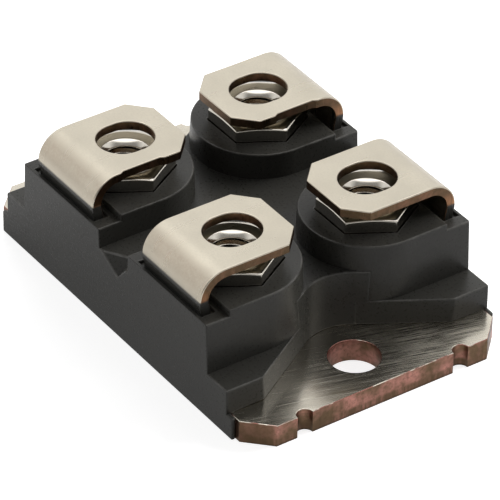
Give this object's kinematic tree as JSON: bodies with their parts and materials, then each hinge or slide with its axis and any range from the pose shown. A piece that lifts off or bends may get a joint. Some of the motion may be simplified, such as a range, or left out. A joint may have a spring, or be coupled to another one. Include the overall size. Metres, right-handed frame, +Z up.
{
  "type": "igbt module",
  "caption": "Isolated power transistor module: a moulded black body on a nickel-plated base plate, with folded screw terminals over captive nuts and chips soldered on a ceramic inside.",
  "frame": {"origin": "under the middle of the base plate, on its bottom face", "axes": "+X along the length, through both mounting holes; -Y towards the long side with the mould gate's scar; +Z up, out of the terminals"},
  "size_m": [0.038, 0.0248, 0.012],
  "materials": {
    "plate_nickel": "nickel plate, brushed along the width, with bare copper at the sawn edges",
    "epoxy": "fine matt moulded epoxy",
    "strap_nickel": "satin nickel plate with copper showing at the cut edges",
    "nut_steel": "bright nickel-plated steel",
    "solder": "dull solder",
    "copper": "plain copper",
    "ceramic": "white alumina",
    "silicon": "polished silicon",
    "bond_wire": "bright drawn aluminium"
  },
  "bodies": {
    "root": {"base_plate": "plate_nickel", "moulded_body": "epoxy", "gate_terminal": "strap_nickel", "collector_terminal": "strap_nickel", "emitter_terminal": "strap_nickel", "sense_terminal": "strap_nickel", "terminal_nuts": "nut_steel", "base_solder": "solder", "back_copper": "copper", "ceramic_substrate": "ceramic", "collector_pad": "copper", "emitter_pad": "copper", "sense_pad": "copper", "gate_pad": "copper", "terminal_solder": "solder", "switch_solder": "solder", "switch_chip": "silicon", "diode_solder": "solder", "diode_chip": "silicon", "switch_wires": "bond_wire", "diode_wires": "bond_wire", "gate_wire": "bond_wire", "sense_wire": "bond_wire"}
  },
  "joints": []
}
